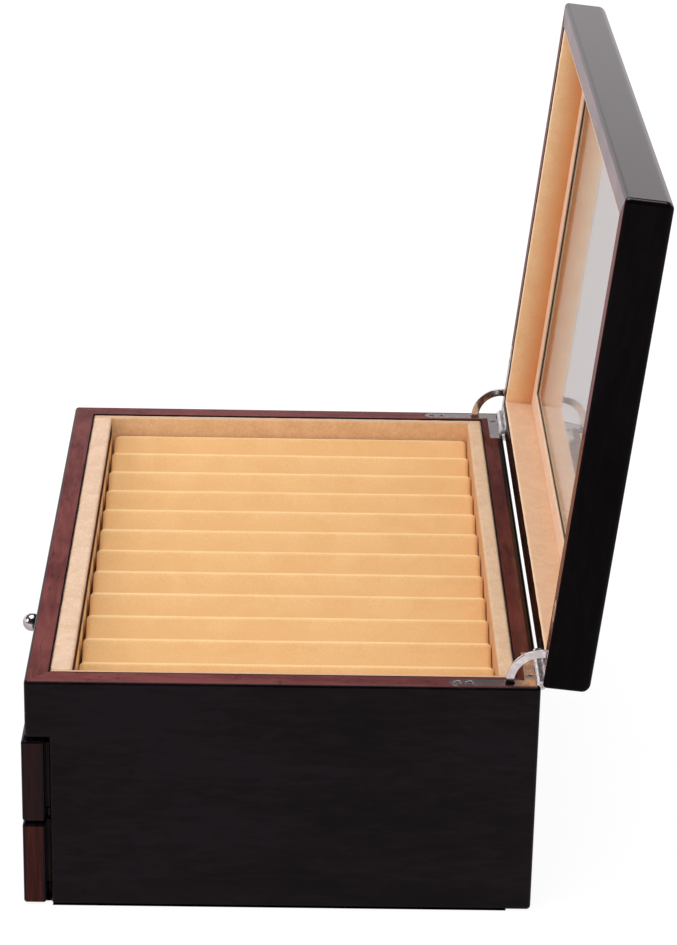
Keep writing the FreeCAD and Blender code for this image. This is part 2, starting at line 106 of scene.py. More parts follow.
def tint(red, green, blue):
    """A colour given as it looks on a screen, from 0 to 255, as the linear colour that a shader takes."""
    def linear(value):
        share = value / 255
        return share / 12.92 if share <= 0.04045 else ((share + 0.055) / 1.055) ** 2.4

    return (linear(red), linear(green), linear(blue), 1.0)


# ---- The lid's own frame ----

LID_JOINT = next(joint for joint in frame["joints"] if joint["name"] == "lid_hinge")
HINGE_POINT = Vector(LID_JOINT["pos_m"])
OPEN_ANGLE = math.radians(LID_JOINT["range_deg"][1])
OPENED = (Matrix.Translation(HINGE_POINT) @ Matrix.Rotation(-OPEN_ANGLE, 4, "X")
          @ Matrix.Translation(-HINGE_POINT))
SHUT = OPENED.inverted()


def corners_of(points):
    low = Vector([min(point[axis] for point in points) for axis in range(3)])
    high = Vector([max(point[axis] for point in points) for axis in range(3)])
    return low, high


def shut_box(node):
    """The box of one of the lid's nodes with the lid shut."""
    return corners_of([SHUT @ vertex.co for vertex in NODES[node].data.vertices])


# ---- Node trees ----

FLOAT, VECTOR, COUNT = "NodeSocketFloat", "NodeSocketVector", "NodeSocketInt"
GEOMETRY, MATERIAL = "NodeSocketGeometry", "NodeSocketMaterial"


def put(tree, kind, inputs=None, **settings):
    """Adds a node, sets it up, and gives each named input a value or a link."""
    made = tree.nodes.new(kind)
    for key, value in settings.items():
        setattr(made, key, value)
    for key, value in (inputs or {}).items():
        fill_in(tree, made.inputs[key], value)
    return made


def fill_in(tree, socket, value):
    """Links a value that comes out of a node, and writes any other."""
    if isinstance(value, Amount):
        value = value.socket
    if isinstance(value, bpy.types.NodeSocket):
        tree.links.new(value, socket)
    else:
        socket.default_value = value


class Amount:
    """A number in a node tree, so that its sums are written as those of plain numbers."""

    def __init__(self, tree, socket):
        self.tree, self.socket = tree, socket

    def by(self, operation, *others):
        made = put(self.tree, "ShaderNodeMath", dict(enumerate((self, *others))), operation=operation)
        return Amount(self.tree, made.outputs[0])

    def __add__(self, other):
        return self.by("ADD", other)

    def __sub__(self, other):
        return self.by("SUBTRACT", other)

    def __mul__(self, other):
        return self.by("MULTIPLY", other)

    def __truediv__(self, other):
        return self.by("DIVIDE", other)

    def __abs__(self):
        return self.by("ABSOLUTE")


def spaced(values):
    return {name.replace("_", " "): value for name, value in values.items()}


def new_group(name, inputs, kind):
    """A node group with inputs of given names, types and values, and the sockets that it is given."""
    tree = bpy.data.node_groups.new(name, kind)
    for label, socket_type, value in inputs:
        socket = tree.interface.new_socket(label, in_out="INPUT", socket_type=socket_type)
        if value is not None:
            socket.default_value = value
    return tree, tree.nodes.new("NodeGroupInput").outputs


def new_effect(name, **inputs):
    """A shader group that is given a Vector and these values, with spaces for underscores in the names."""
    inputs = {"Vector": (0, 0, 0), **spaced(inputs)}
    return new_group(name, [(label, FLOAT if isinstance(value, float) else VECTOR, value)
                            for label, value in inputs.items()], "ShaderNodeTree")


def give_out(tree, socket_type=FLOAT, **values):
    """Ends a group with outputs, with spaces for underscores in the names, and returns it."""
    values = spaced(values)
    for name in values:
        tree.interface.new_socket(name, in_out="OUTPUT", socket_type=socket_type)
    gives = tree.nodes.new("NodeGroupOutput").inputs
    for name, value in values.items():
        tree.links.new(value, gives[name])
    return tree


def sum_of(tree, first, second, operation="ADD"):
    """The sum of two numbers, or what another operation makes of them."""
    return put(tree, "ShaderNodeMath", {0: first, 1: second}, operation=operation).outputs[0]


def product_of(tree, first, second):
    return sum_of(tree, first, second, "MULTIPLY")


def size_of(tree, value):
    return sum_of(tree, value, 0.0, "ABSOLUTE")


def vector_of(tree, first, second, operation="MULTIPLY"):
    return put(tree, "ShaderNodeVectorMath", {0: first, 1: second}, operation=operation).outputs[0]


def ramp_between(tree, value, start, end, low=0.0, high=1.0):
    """A smooth step from low to high while value goes from start to end."""
    inputs = {0: value, 1: start, 2: end, 3: low, 4: high}
    return put(tree, "ShaderNodeMapRange", inputs, interpolation_type="SMOOTHSTEP").outputs[0]


def noise_of(tree, vector, scale, detail=2.0, roughness=0.5, distortion=0.0):
    inputs = {"Vector": vector, "Scale": scale, "Detail": detail, "Roughness": roughness,
              "Distortion": distortion}
    return put(tree, "ShaderNodeTexNoise", inputs).outputs[0]


def mix_colours(tree, share, first, second):
    made = put(tree, "ShaderNodeMix", data_type="RGBA")
    for index, value in ((0, share), (6, first), (7, second)):
        fill_in(tree, made.inputs[index], value)
    return made.outputs[2]


# ---- Shared surface effects ----

def make_wood_figure():
    """Streaks of veneer: Repeats says how often the pattern changes along each axis, in times per metre."""
    tree, given = new_effect("wood figure", Repeats=(20, 300, 300))
    streaky = vector_of(tree, given["Vector"], given["Repeats"])
    streaks = noise_of(tree, streaky, 1.0, 5.0, 0.62, 0.5)
    cloud = noise_of(tree, vector_of(tree, streaky, (0.5, 0.12, 0.12)), 1.0, 2.0, 0.5, 0.3)
    fine = noise_of(tree, vector_of(tree, streaky, (1.6, 5.0, 5.0)), 1.0, 2.0, 0.5)
    pores = ramp_between(tree, fine, 0.6, 0.72)
    height = sum_of(tree, product_of(tree, streaks, 0.5), pores, "SUBTRACT")
    return give_out(tree, Figure=streaks, Cloud=cloud, Pores=pores, Height=height)


def make_suede_nap():
    """The flecks and brushed patches of suede-like cloth, both given in times per metre."""
    tree, given = new_effect("suede nap", Flecks=900.0, Patches=60.0)
    fleck = noise_of(tree, given["Vector"], given["Flecks"], 3.0, 0.7)
    patch = noise_of(tree, given["Vector"], given["Patches"], 3.0, 0.55, 0.8)
    fibre = noise_of(tree, vector_of(tree, given["Vector"], (1.0, 2.2, 1.4)), given["Flecks"], 2.0, 0.8)
    height = product_of(tree, fleck, fibre)
    return give_out(tree, Fleck=fleck, Patch=patch, Height=height)


def make_face_tone():
    """1 where a point is farther than Reach from a Centre, measured Along one axis, and 0 nearer."""
    tree, given = new_effect("face tone", Centre=(0, 0, 0), Along=(0, 0, 1), Reach=0.1, Fade=0.00004)
    away = vector_of(tree, given["Vector"], given["Centre"], "SUBTRACT")
    along = put(tree, "ShaderNodeVectorMath", {0: away, 1: given["Along"]}, operation="DOT_PRODUCT")
    past = sum_of(tree, size_of(tree, along.outputs["Value"]), given["Reach"], "SUBTRACT")
    return give_out(tree, Face=ramp_between(tree, past, 0.0, given["Fade"]))


def make_bands():
    """Where a point lies between Low and High along Z: Share runs from 0 to 1, Foot from 1 to 0, and the
    lines are 1 at either height and 0 a Width away from it."""
    tree, given = new_effect("bands", Low=0.0, High=1.0, Width=0.0005)
    height = put(tree, "ShaderNodeSeparateXYZ", {0: given["Vector"]}).outputs["Z"]

    def line_at(end):
        away = size_of(tree, sum_of(tree, height, given[end], "SUBTRACT"))
        return ramp_between(tree, away, given["Width"], 0.0)

    return give_out(tree, Share=ramp_between(tree, height, given["Low"], given["High"]),
                    Foot=ramp_between(tree, height, given["High"], given["Low"]),
                    Low_Line=line_at("Low"), High_Line=line_at("High"))


def make_edge_wear():
    """Rubbed edges of a box-shaped piece: 1 along broken stretches of its edges, within Width of them."""
    tree, given = new_effect("edge wear", Centre=(0, 0, 0), Half_Size=(0.1, 0.1, 0.1), Width=0.0008,
                             Spots=120.0)
    away = vector_of(tree, given["Vector"], given["Centre"], "SUBTRACT")
    away = put(tree, "ShaderNodeVectorMath", {0: away}, operation="ABSOLUTE").outputs[0]
    inside = vector_of(tree, given["Half Size"], away, "SUBTRACT")
    x, y, z = put(tree, "ShaderNodeSeparateXYZ", {0: inside}).outputs
    lower, upper = sum_of(tree, x, y, "MINIMUM"), sum_of(tree, x, y, "MAXIMUM")
    second = sum_of(tree, lower, sum_of(tree, upper, z, "MINIMUM"), "MAXIMUM")
    line = ramp_between(tree, second, given["Width"], 0.0)
    spots = noise_of(tree, given["Vector"], given["Spots"], 4.0, 0.7)
    return give_out(tree, Wear=product_of(tree, line, ramp_between(tree, spots, 0.5, 0.75)))


def make_dust():
    """Sparse round specks: Cells is how many fit in a metre, and Share is the part of them that is there."""
    tree, given = new_effect("dust", Cells=70.0, Share=0.05, Size=0.05)
    cells = put(tree, "ShaderNodeTexVoronoi", {"Vector": given["Vector"], "Scale": given["Cells"]})
    chance = put(tree, "ShaderNodeSeparateColor", {0: cells.outputs["Color"]}).outputs[0]
    chosen = sum_of(tree, chance, given["Share"], "LESS_THAN")
    near = ramp_between(tree, cells.outputs["Distance"], given["Size"], 0.0)
    return give_out(tree, Specks=product_of(tree, chosen, near))


def make_polish_marks():
    """The smudges and hair scratches of polished plating."""
    tree, given = new_effect("polish marks", Smudges=150.0, Scratches=500.0)
    smudge = noise_of(tree, given["Vector"], given["Smudges"], 3.0, 0.6, 0.4)
    long_way = vector_of(tree, given["Vector"], (9.0, 0.6, 9.0))
    scratch = noise_of(tree, long_way, given["Scratches"], 2.0, 0.7)
    return give_out(tree, Smudge=smudge, Height=ramp_between(tree, scratch, 0.62, 0.7))


WOOD_FIGURE = make_wood_figure()
SUEDE_NAP = make_suede_nap()
FACE_TONE = make_face_tone()
BANDS = make_bands()
EDGE_WEAR = make_edge_wear()
DUST = make_dust()
POLISH_MARKS = make_polish_marks()


def place_effect(tree, group, vector, **values):
    """Places a shared effect in a material with its own values, and returns what it gives."""
    return put(tree, "ShaderNodeGroup", {"Vector": vector, **spaced(values)}, node_tree=group).outputs


def new_material(name, **sockets):
    """A material with one Principled shader: the material, its tree, the shader and Object coordinates."""
    made = bpy.data.materials.new(name)
    made.use_nodes = True
    tree = made.node_tree
    shader = tree.nodes["Principled BSDF"]
    for key, value in spaced(sockets).items():
        shader.inputs[key].default_value = value
    return made, tree, shader, put(tree, "ShaderNodeTexCoord").outputs["Object"]


def raise_surface(tree, shader, height, strength, distance):
    bump = put(tree, "ShaderNodeBump", {"Strength": strength, "Distance": distance, "Height": height})
    tree.links.new(bump.outputs[0], shader.inputs["Normal"])


def in_shut_lid(tree, where):
    """Object coordinates turned to those of the shut lid, so that a pattern runs along the lid's boards."""
    shift = HINGE_POINT - SHUT.to_3x3() @ HINGE_POINT
    turned = {"Vector": where, "Location": shift, "Rotation": (OPEN_ANGLE, 0, 0)}
    return put(tree, "ShaderNodeMapping", turned).outputs[0]


# ---- Finishes ----

VENEER = (tint(5, 2, 4), tint(19, 11, 16))
LID_VENEER = (tint(4, 2, 4), tint(12, 8, 11))
# Painted reflection: the lid's front rail is tinted mauve for the grey-lilac backdrop mirrored in it; its
# gloss coat adds a real reflection on top.
ROSY_PAINTED_REFLECTION = (tint(18, 8, 14), tint(28, 15, 23))
# Painted light: the rims of the chest and of the lid's side rails are the same veneer as the sides, given
# lighter reddish tones for the light and reflection on them.
RIM_PAINTED_LIGHT = (tint(92, 50, 50), tint(120, 68, 66))
# Painted shade: the back panel's rim is darker where the open lid shades it.
BACK_RIM_PAINTED_SHADE = (tint(72, 32, 28), tint(98, 46, 39))
# Painted shade: the rims of the lid's rear rail and window panel are darker tones of the same veneer as the
# lid's side rims.
LID_RIM_PAINTED_SHADE = (tint(30, 11, 5), tint(58, 27, 15))
# Painted shade: the near-black that the back panel's rim darkens to towards its rear edge.
RIM_EDGE_PAINTED_SHADE = tint(14, 4, 2)
# Painted reflection: mauve rim tones of the lid's front rail.
ROSY_RIM_PAINTED_REFLECTION = (tint(70, 38, 52), tint(118, 84, 92))
# Painted light: the end faces of the drawer fronts get lighter reddish tones of the same veneer, set for how
# the light falls on each drawer.
END_PAINTED_LIGHT = {"upper_drawer": (tint(14, 6, 7), tint(38, 18, 18)),
               "lower_drawer": (tint(26, 9, 8), tint(68, 26, 20))}
# Partly painted shade: the inner boards are kept dark so that the gaps beside the drawer fronts look shaded.
INNER_BOARD = (tint(34, 19, 17), tint(66, 38, 32))
VENEER_PORES, INNER_PORES = tint(6, 3, 4), tint(24, 13, 12)
FIGURE_SPREAD = (0.7, 1.3)
PORE_SHARE, INNER_PORE_SHARE, WEAR_SHARE = 0.35, 0.5, 0.3
VENEER_ROUGHNESS, INNER_ROUGHNESS = (0.34, 0.46), (0.5, 0.65)
SEAM = tint(16, 6, 5)
WORN_EDGE = tint(104, 70, 60)
DUST_COLOUR = tint(215, 212, 206)
# What a surface's relief is: how strongly it shades, and how deep it is.
VENEER_GRAIN, INNER_GRAIN = (0.12, 0.04 * MM), (0.3, 0.08 * MM)
NAP_RELIEF, SCRATCH_RELIEF = (0.5, 0.12 * MM), (0.08, 0.02 * MM)
# Weight, IOR and roughness of a coat.
LACQUER, LID_LACQUER, GLOSS = (1.0, 1.19, 0.1), (0.4, 1.19, 0.1), (1.0, 1.5, 0.16)
FACE_FADE, SEAM_FADE, EDGE_PAINTED_SHADE_FADE = 0.04 * MM, 0.25 * MM, 0.8 * MM


def figured(tree, where, repeats):
    """The figure of a board, and how far it is towards its paler tone at each point."""
    figure = place_effect(tree, WOOD_FIGURE, where, Repeats=repeats)
    return figure, ramp_between(tree, sum_of(tree, figure["Figure"], figure["Cloud"]), *FIGURE_SPREAD)


def finish_wood(tree, shader, figure, colour, roughness, grain):
    tree.links.new(colour, shader.inputs["Base Color"])
    tree.links.new(ramp_between(tree, figure["Figure"], 0.3, 0.7, *roughness), shader.inputs["Roughness"])
    raise_surface(tree, shader, figure["Height"], *grain)


def veneer(name, box, repeats, tones, faces, seam=None, shade=None, lid=False, coat=LACQUER):
    """Dark lacquered veneer on one box-shaped assembly, rubbed at its edges. Given faces get their own tones
    as painted light and shade, which darken as painted shade beyond the reach of the shade; the seam is a
    dark line inside a given reach."""
    weight, ior, coat_roughness = coat
    made, tree, shader, where = new_material(name, Specular_IOR_Level=0.0, Coat_Weight=weight, Coat_IOR=ior,
                                             Coat_Roughness=coat_roughness)
    if lid:
        where = in_shut_lid(tree, where)
    low, high = box
    centre = (low + high) / 2

    def past(middle, along, reach, fade):
        given = place_effect(tree, FACE_TONE, where, Centre=middle, Along=along, Reach=reach, Fade=fade)
        return given["Face"]

    figure, share = figured(tree, where, repeats)
    # Painted light and shade: the given faces get their own tones, darkened by painted shade past the shade's
    # reach.
    middle, along, reach, face_tones = faces
    face_colour = mix_colours(tree, share, *face_tones)
    if shade:
        face_colour = mix_colours(tree, past(centre, *shade, EDGE_PAINTED_SHADE_FADE), face_colour, RIM_EDGE_PAINTED_SHADE)
    colour = mix_colours(tree, past(middle, along, reach, FACE_FADE), mix_colours(tree, share, *tones),
                         face_colour)
    if seam:
        colour = mix_colours(tree, past(centre, *seam, SEAM_FADE), SEAM, colour)
    colour = mix_colours(tree, product_of(tree, figure["Pores"], PORE_SHARE), colour, VENEER_PORES)
    wear = place_effect(tree, EDGE_WEAR, where, Centre=centre, Half_Size=(high - low) / 2)["Wear"]
    colour = mix_colours(tree, product_of(tree, wear, WEAR_SHARE), colour, WORN_EDGE)
    colour = mix_colours(tree, place_effect(tree, DUST, where)["Specks"], colour, DUST_COLOUR)
    finish_wood(tree, shader, figure, colour, VENEER_ROUGHNESS, VENEER_GRAIN)
    return made


def inner_wood(name, repeats):
    """Plain dark board, as used where only an open drawer shows it; its dark tone is partly painted shade for
    the gaps beside the drawer fronts.
    """
    made, tree, shader, where = new_material(name)
    figure, share = figured(tree, where, repeats)
    colour = mix_colours(tree, share, *INNER_BOARD)
    colour = mix_colours(tree, product_of(tree, figure["Pores"], INNER_PORE_SHARE), colour, INNER_PORES)
    finish_wood(tree, shader, figure, colour, INNER_ROUGHNESS, INNER_GRAIN)
    return made


def suede(name, pale, deep, nap, bands=None, lid=False, sheen=0.35):
    """Brushed suede-like cloth between two colours. Its nap is its flecks and patches in times per metre and
    how much the patches count. Bands are two heights, the width of the lines at them, and the parts of
    make_bands with the tone that each mixes in and by how much; they paint shade, shadow lines and highlights
    by height."""
    made, tree, shader, where = new_material(name, Roughness=0.95, Sheen_Weight=sheen, Sheen_Roughness=0.6,
                                             Sheen_Tint=pale, Specular_IOR_Level=0.15)
    if lid:
        where = in_shut_lid(tree, where)
    flecks, patches, contrast = nap
    brushed = place_effect(tree, SUEDE_NAP, where, Flecks=flecks, Patches=patches)
    broad = product_of(tree, ramp_between(tree, brushed["Patch"], 0.3, 0.7), contrast)
    fine = product_of(tree, ramp_between(tree, brushed["Fleck"], 0.25, 0.75), 1.0 - contrast)
    colour = mix_colours(tree, sum_of(tree, broad, fine), deep, pale)
    if bands:
        low, high, width, parts = bands
        given = place_effect(tree, BANDS, where, Low=low, High=high, Width=width)
        for part, (tone, amount) in parts.items():
            colour = mix_colours(tree, product_of(tree, given[part], amount), colour, tone)
    tree.links.new(colour, shader.inputs["Base Color"])
    raise_surface(tree, shader, brushed["Height"], *NAP_RELIEF)
    return made


def plating(name, colour, dull, roughness=(0.08, 0.2)):
    """Polished plating with smudges and hair scratches."""
    made, tree, shader, where = new_material(name, Metallic=1.0)
    marks = place_effect(tree, POLISH_MARKS, where)
    smudge = ramp_between(tree, marks["Smudge"], 0.35, 0.65)
    tree.links.new(mix_colours(tree, smudge, colour, dull), shader.inputs["Base Color"])
    tree.links.new(ramp_between(tree, marks["Smudge"], 0.3, 0.7, *roughness), shader.inputs["Roughness"])
    raise_surface(tree, shader, marks["Height"], *SCRATCH_RELIEF)
    return made


def pane(name):
    """Clear window glass, faintly grey-green in its thickness, with a little dust on it."""
    made, tree, shader, where = new_material(name, Transmission_Weight=1.0, IOR=1.5)
    specks = place_effect(tree, DUST, where, Cells=110.0, Share=0.1, Size=0.04)["Specks"]
    tree.links.new(mix_colours(tree, specks, tint(244, 249, 246), DUST_COLOUR), shader.inputs["Base Color"])
    tree.links.new(ramp_between(tree, specks, 0.0, 1.0, 0.04, 0.5), shader.inputs["Roughness"])
    return made


CHEST_BOX = corners_of([corner for node in ("right_side_panel", "left_side_panel", "front_rail", "back_panel")
                        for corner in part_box(node)])
LID_BOX = corners_of([corner for side in ("right", "left", "front", "rear")
                      for corner in shut_box(f"lid_{side}_rail")])
DRAWERS = ("upper_drawer", "lower_drawer")
FACE_DEPTH = 0.06 * MM
BACK_EDGE_PAINTED_SHADE_WIDTH = 3.6 * MM
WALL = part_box("front_rail")[1].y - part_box("front_rail")[0].y
SEAM_WIDTH = 0.5 * MM
# How often the figure changes along each axis, in times per metre.
ALONG_X = (60.0, 260.0, 260.0)
ALONG_Y = (260.0, 60.0, 260.0)
FRONT_REPEATS = (26.0, 700.0, 40.0)


def reach_of(box, axis, less):
    return (box[1][axis] - box[0][axis]) / 2 - less


def chest_veneer(name, repeats, rim_tones, *marks):
    rim = (0, 0, 0), (0, 0, 1), CHEST_BOX[1].z - FACE_DEPTH, rim_tones
    return veneer(name, CHEST_BOX, repeats, VENEER, rim, *marks)


def lid_veneer(name, repeats, tones, rim_tones, coat=LID_LACQUER):
    rim = (0, 0, LID_BOX[1].z), (0, 0, 1), LID_BOX[1].z - LID_BOX[0].z - FACE_DEPTH, rim_tones
    return veneer(name, LID_BOX, repeats, tones, rim, lid=True, coat=coat)


ACROSS_SEAM = ((0, 1, 0), reach_of(CHEST_BOX, 1, WALL - SEAM_WIDTH))
SIDE_SEAM = ((1, 0, 0), reach_of(CHEST_BOX, 0, WALL - SEAM_WIDTH))
# Painted shade along the rear edge of the back panel's rim.
BACK_EDGE_PAINTED_SHADE = ((0, 1, 0), reach_of(CHEST_BOX, 1, BACK_EDGE_PAINTED_SHADE_WIDTH))


def drawer_veneer(drawer):
    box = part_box(drawer + "_front")
    ends = ((box[0] + box[1]) / 2, (1, 0, 0), reach_of(box, 0, FACE_DEPTH), END_PAINTED_LIGHT[drawer])
    return veneer(drawer + "_veneer", box, FRONT_REPEATS, VENEER, ends)


BOARDS = [
    (("front_rail",), chest_veneer("chest_veneer_front", ALONG_X, RIM_PAINTED_LIGHT, ACROSS_SEAM)),
    (("back_panel",), chest_veneer("chest_veneer_back", ALONG_X, BACK_RIM_PAINTED_SHADE, ACROSS_SEAM, BACK_EDGE_PAINTED_SHADE)),
    (("right_side_panel", "left_side_panel"),
     chest_veneer("chest_veneer_side", ALONG_Y, RIM_PAINTED_LIGHT, SIDE_SEAM)),
    (("lid_rear_rail", "lid_window_panel"),
     lid_veneer("lid_veneer_across", ALONG_X, LID_VENEER, LID_RIM_PAINTED_SHADE)),
    (("lid_front_rail",), lid_veneer("lid_veneer_front", ALONG_X, ROSY_PAINTED_REFLECTION, ROSY_RIM_PAINTED_REFLECTION, GLOSS)),
    (("lid_right_rail", "lid_left_rail"), lid_veneer("lid_veneer_side", ALONG_Y, LID_VENEER, RIM_PAINTED_LIGHT)),
    (["bottom_board", "drawer_divider", "tray_floor"]
     + [f"{drawer}_{part}" for drawer in DRAWERS for part in ("back", "bottom")],
     inner_wood("inner_board_across", ALONG_X)),
    ([f"{drawer}_{side}_side" for drawer in DRAWERS for side in ("right", "left")],
     inner_wood("inner_board_side", ALONG_Y)),
    (("lid_window_glass",), pane("window_glass")),
] + [((drawer + "_front",), drawer_veneer(drawer)) for drawer in DRAWERS]

LINING_LOW = shut_box("lid_rear_lining")[0].z
SURROUND_LOW, SURROUND_HIGH = (corner.z for corner in shut_box("lid_window_surround"))
PAD_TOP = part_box("tray_insert")[1].z
LEDGE_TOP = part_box("tray_front_ledge")[1].z
LINER_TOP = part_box("right_tray_liner")[1].z
LINE = 0.9 * MM
PAD_NAP, STRIP_NAP, LINING_NAP = (1100.0, 45.0, 0.35), (800.0, 90.0, 0.4), (800.0, 90.0, 0.45)

# Painted light on the pen pad: its grooves darken towards the bottom as painted shade, and a pale painted
# highlight runs along each crest.
PAD_SUEDE = suede(
    "insert_suede", tint(235, 196, 143), tint(222, 175, 120), PAD_NAP,
    (PAD_TOP - GROOVE_DEPTH, PAD_TOP, 0.3 * MM,
     {"Foot": (tint(200, 150, 98), 0.45), "High Line": (tint(246, 212, 168), 0.35)}))
DRAWER_SUEDE = suede("drawer_insert_suede", tint(240, 198, 142), tint(228, 176, 118), PAD_NAP)
# Painted shade: a darker line along the liners' rounded top, where they meet the rim.
LINER_SUEDE = suede(
    "liner_suede", tint(238, 200, 158), tint(216, 172, 126), STRIP_NAP,
    (LINER_TOP - 3.0 * MM, LINER_TOP, LINE, {"High Line": (tint(190, 158, 138), 0.8)}))
# Painted light and shade on the front ledge's inner face: a dark band below its top as painted shadow in the
# gap to the pad, and bright orange lower down as painted light from the pad's end.
FRONT_LEDGE_SUEDE = suede(
    "front_ledge_suede", tint(226, 196, 172), tint(202, 168, 140), STRIP_NAP,
    (LEDGE_TOP - 15.0 * MM, LEDGE_TOP - 6.6 * MM, 5.6 * MM,
     {"Foot": (tint(255, 214, 156), 1.0), "High Line": (tint(60, 22, 6), 1.9)}), sheen=0.0)
# Painted shade: the rear ledge's inner face darkens towards the pad below it.
REAR_LEDGE_SUEDE = suede(
    "rear_ledge_suede", tint(222, 190, 160), tint(198, 162, 130), STRIP_NAP,
    (LEDGE_TOP - 3.0 * MM, LEDGE_TOP - 0.8 * MM, MM, {"Foot": (tint(216, 156, 100), 0.6)}), sheen=0.0)
# Painted light and shade on the lid's side linings: a paler base than the end linings for the dim light on
# them, orange painted shade deepening towards the window, and a pale painted highlight along the rim edge.
LINING_SIDE = suede(
    "lining_side_suede", tint(252, 216, 174), tint(240, 196, 148), LINING_NAP,
    (LINING_LOW, SURROUND_LOW, LINE,
     {"Share": (tint(200, 126, 62), 0.75), "Low Line": (tint(255, 230, 200), 0.6)}), lid=True)
# Painted highlight: a pale line along the end linings' rim edge.
LINING_END = suede(
    "lining_end_suede", tint(222, 184, 152), tint(206, 164, 130), LINING_NAP,
    (LINING_LOW, SURROUND_LOW, LINE, {"Low Line": (tint(255, 232, 206), 0.5)}), lid=True)
DRAWER_LINING = suede("drawer_lining_suede", tint(246, 198, 152), tint(226, 172, 124), LINING_NAP)
# Painted shadow: a near-black line along the surround's edge against the glass.
SURROUND_SUEDE = suede(
    "surround_suede", tint(238, 202, 176), tint(220, 182, 152), STRIP_NAP,
    (SURROUND_LOW, SURROUND_HIGH, LINE, {"High Line": (tint(10, 2, 0), 1.0)}), lid=True)
NICKEL = plating("polished_nickel", tint(232, 226, 224), tint(204, 198, 200))
SCREW_STEEL = plating("screw_steel", tint(200, 196, 192), tint(166, 162, 160), (0.15, 0.3))


def give_finish(piece, material):
    piece.data.materials.clear()
    piece.data.materials.append(material)


def finish_boards():
    for nodes, material in BOARDS:
        for node in nodes:
            give_finish(NODES[node], material)


# ---- Making pieces ----

def show(piece):
    """Puts a new object in the scene, and returns it."""
    bpy.context.scene.collection.objects.link(piece)
    return piece


def taken_from(maker):
    """The plain mesh that an object's modifiers make of it. The object itself goes."""
    mesh = bpy.data.meshes.new_from_object(maker.evaluated_get(bpy.context.evaluated_depsgraph_get()))
    bpy.data.objects.remove(maker)
    return mesh


def add_piece(node, suffix, mesh, material, body, smooth=True):
    """A finished mesh in place of a node, as a piece that moves with a body; its place is in the mesh."""
    mesh.name = node + suffix
    piece = show(bpy.data.objects.new(node + suffix, mesh))
    if material:
        give_finish(piece, material)
    mesh.polygons.foreach_set("use_smooth", [smooth] * len(mesh.polygons))
    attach(piece, body)
    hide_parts(node)
    return piece


def add_cloth(node, mesh, material, body):
    piece = add_piece(node, "_cloth", mesh, material, body)


def mesh_from(work):
    """Turns a bmesh into a mesh with its faces outwards, and frees it."""
    bmesh.ops.recalc_face_normals(work, faces=work.faces)
    mesh = bpy.data.meshes.new("piece")
    work.to_mesh(mesh)
    work.free()
    return mesh


def soften(work, amount):
    """Moves each point a little along its normal, as cloth over a board does."""
    work.normal_update()
    for vertex in work.verts:
        vertex.co += vertex.normal * noise.noise(vertex.co * CLOTH_WAVES) * amount


def rounded_section(half_wide, half_high, radius, steps=5, spans=4):
    """The outline of a bar with rounded corners, as points round it, with spans on each flat side."""
    corners = [(1, 1, 0), (-1, 1, 90), (-1, -1, 180), (1, -1, 270)]
    points = []
    for sign_x, sign_y, start in corners:
        centre = (sign_x * (half_wide - radius), sign_y * (half_high - radius))
        for step in range(steps + 1):
            angle = math.radians(start + 90 * step / steps)
            points.append((centre[0] + radius * math.cos(angle), centre[1] + radius * math.sin(angle)))
    filled = []
    for index, point in enumerate(points):
        filled.append(point)
        following = points[(index + 1) % len(points)]
        if math.dist(point, following) > radius:
            for span in range(1, spans):
                share = span / spans
                filled.append(tuple(a + (b - a) * share for a, b in zip(point, following)))
    return filled


def soft_bar(low, high, radius, axis, pitch=4 * MM, roll_steps=4):
    """A cloth-covered strip along one axis, with its long edges and its ends rolled over."""
    across = [other for other in range(3) if other != axis]
    middle = (low + high) / 2
    half = (high - low) / 2
    half_wide, half_high = half[across[0]], half[across[1]]
    length = 2 * half[axis]
    turns = [math.pi / 2 * step / roll_steps for step in range(roll_steps + 1)]
    stations = [(radius * (1 - math.cos(angle)), radius * (1 - math.sin(angle))) for angle in turns]
    rows = max(2, round((length - 2 * radius) / pitch))
    inner = [(radius + (length - 2 * radius) * row / rows, 0.0) for row in range(1, rows)]
    ends = [(length - distance, inset) for distance, inset in reversed(stations)]
    work = bmesh.new()
    rings = []
    outline = rounded_section(half_wide, half_high, radius)
    for distance, inset in stations + inner + ends:
        ring = []
        for wide, high_way in outline:
            co = Vector((0, 0, 0))
            co[axis] = middle[axis] - length / 2 + distance
            co[across[0]] = middle[across[0]] + wide * (1 - inset / half_wide)
            co[across[1]] = middle[across[1]] + high_way * (1 - inset / half_high)
            ring.append(work.verts.new(co))
        rings.append(ring)
    join_rings(work, rings)
    work.faces.new(rings[0])
    work.faces.new(rings[-1])
    soften(work, STRIP_UNEVENNESS)
    return work


def join_rings(work, rings, closed=False):
    """Faces between each ring of points and the next."""
    pairs = list(zip(rings, rings[1:]))
    if closed:
        pairs.append((rings[-1], rings[0]))
    for ring, following in pairs:
        count = len(ring)
        for index in range(count):
            other = (index + 1) % count
            work.faces.new((ring[index], ring[other], following[other], following[index]))


def soft_frame(outer, inner, radius, pitch=5 * MM):
    """A flat cloth-covered frame with mitred corners and soft edges, between an outer and an inner box."""
    half_width = (outer[1].x - inner[1].x) / 2
    middle = (outer[0] + outer[1]) / 2
    reach = (outer[1] - outer[0]) / 2
    outline = rounded_section(half_width, reach.z, radius)
    corners = [(1, 1), (-1, 1), (-1, -1), (1, -1)]
    rings = []
    work = bmesh.new()
    for corner, following in zip(corners, corners[1:] + corners[:1]):
        run = 2 * (reach.x if corner[0] != following[0] else reach.y)
        rows = max(2, round(run / pitch))
        for row in range(rows):
            ring = []
            for wide, high_way in outline:
                side = Vector((reach.x - half_width + wide, reach.y - half_width + wide))
                place = (side * Vector(corner)).lerp(side * Vector(following), row / rows)
                ring.append(work.verts.new(middle + Vector((place.x, place.y, high_way))))
            rings.append(ring)
    join_rings(work, rings, closed=True)
    soften(work, SURROUND_UNEVENNESS)
    return work


